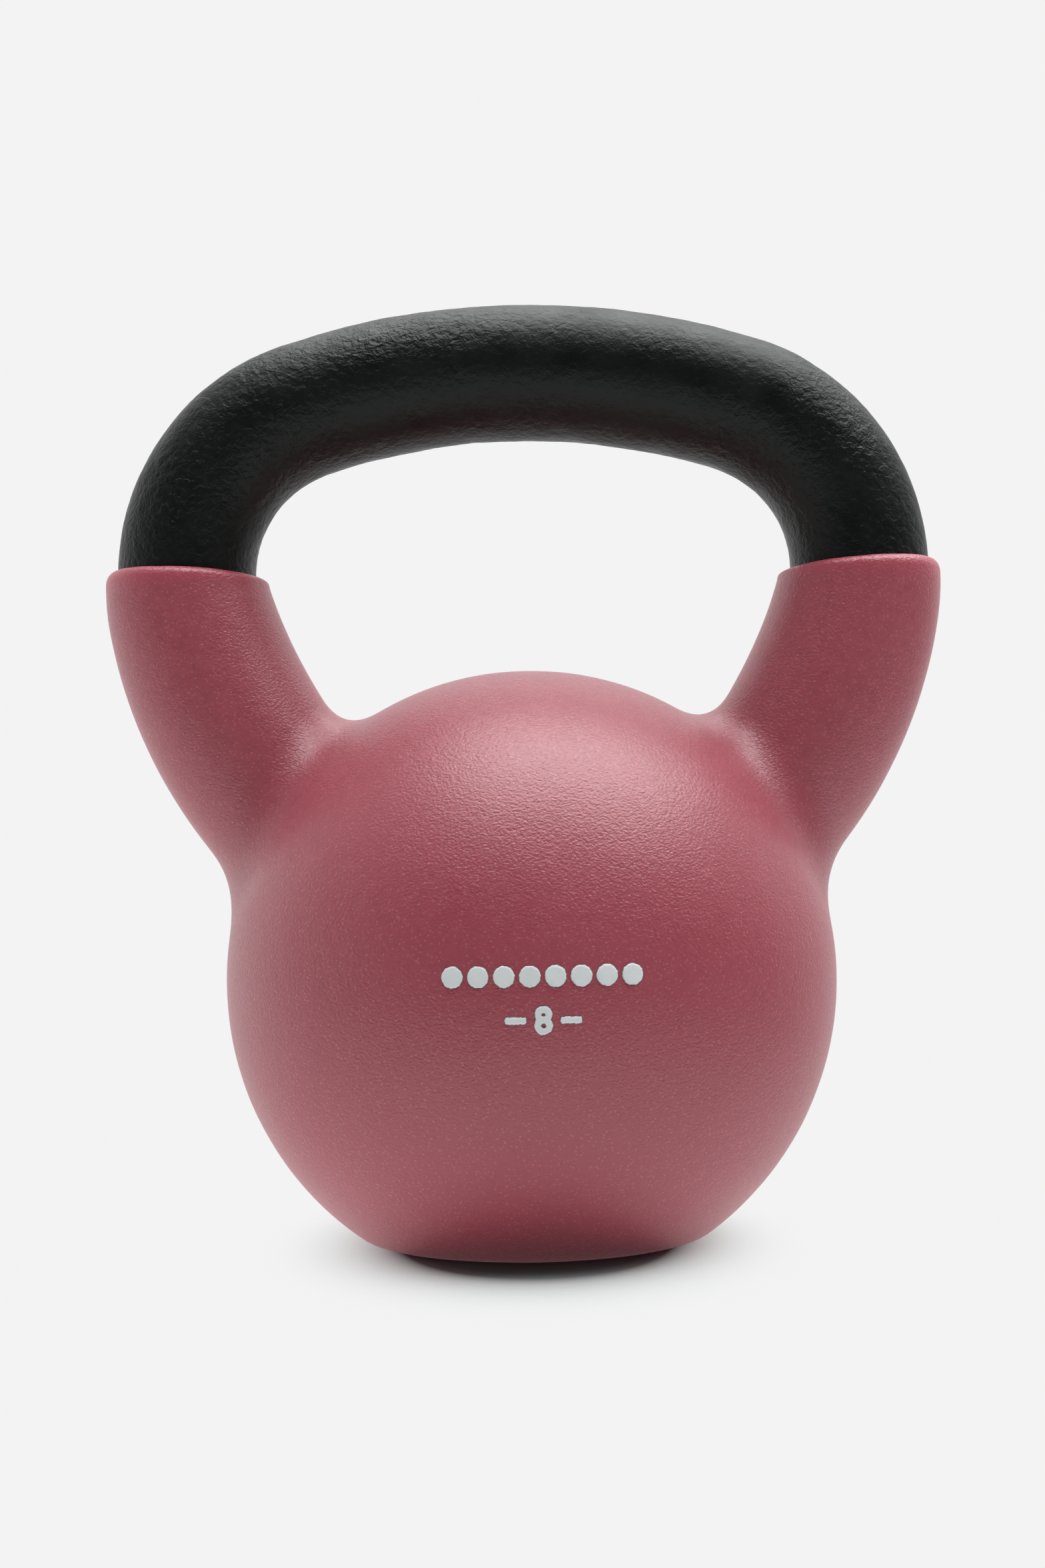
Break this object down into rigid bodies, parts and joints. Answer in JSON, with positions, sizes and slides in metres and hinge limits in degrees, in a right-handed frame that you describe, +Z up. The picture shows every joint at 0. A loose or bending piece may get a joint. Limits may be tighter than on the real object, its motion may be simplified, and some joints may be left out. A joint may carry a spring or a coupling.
{
  "type": "kettlebell",
  "caption": "Cast-iron kettlebell: round flat-based ball in a dipped vinyl jacket, bare black enamelled handle between two rounded vinyl lips.",
  "frame": {"origin": "centre of the flat base, on the floor", "axes": "+Z up, +X along the handle, -Y out of the face that carries the printed marks"},
  "size_m": [0.1744, 0.1257, 0.1938],
  "materials": {
    "iron": "rough as cast",
    "vinyl": "satin dusty burgundy dip, finely wrinkled",
    "enamel": "semi-gloss black over lumpy sand casting",
    "ink": "pale grey raised print"
  },
  "bodies": {
    "root": {"iron_casting": "iron", "vinyl_jacket": "vinyl", "grip_enamel": "enamel", "weight_print": "ink", "dot_row": "ink"}
  },
  "joints": []
}
